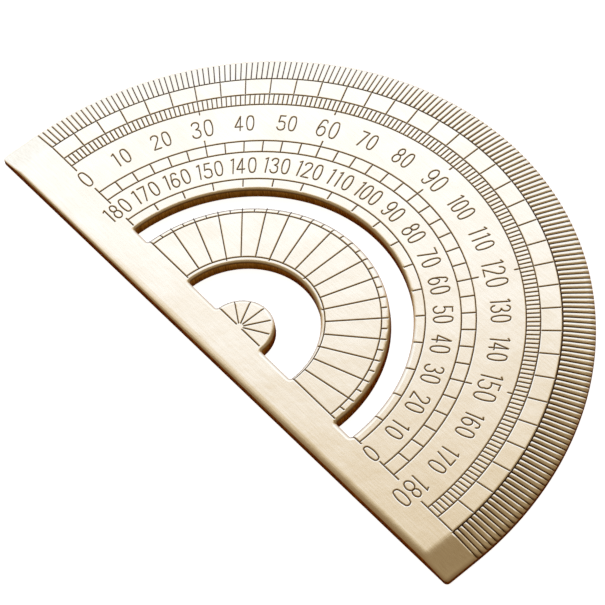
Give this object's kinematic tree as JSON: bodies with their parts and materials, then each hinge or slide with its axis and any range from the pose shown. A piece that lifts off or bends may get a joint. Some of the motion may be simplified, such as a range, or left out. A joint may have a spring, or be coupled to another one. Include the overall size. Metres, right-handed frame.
{
  "type": "semicircular protractor",
  "caption": "Flat brass half-circle protractor with a straight lower bar, arched see-through windows, a centre mark and engraved degree scales filled with dark enamel.",
  "frame": {"origin": "the angle's vertex, which is the engraved centre mark, on the flat back face", "axes": "+X along the baseline to the outer scale's 180, +Y to 90, +Z out of the engraved face"},
  "size_m": [0.1, 0.0563, 0.0016],
  "materials": {
    "brass": "fine brushed, satin",
    "enamel": "matt dark brown enamel wiped into the engraving"
  },
  "bodies": {
    "root": {"brass_plate": "brass", "rim_degree_lines": "enamel", "five_degree_lines": "enamel", "inner_degree_ladder": "enamel", "outer_numerals": "enamel", "middle_ladder": "enamel", "inner_numerals": "enamel", "slot_ring_lines": "enamel", "fan_lines": "enamel", "centre_lines": "enamel"}
  },
  "joints": []
}
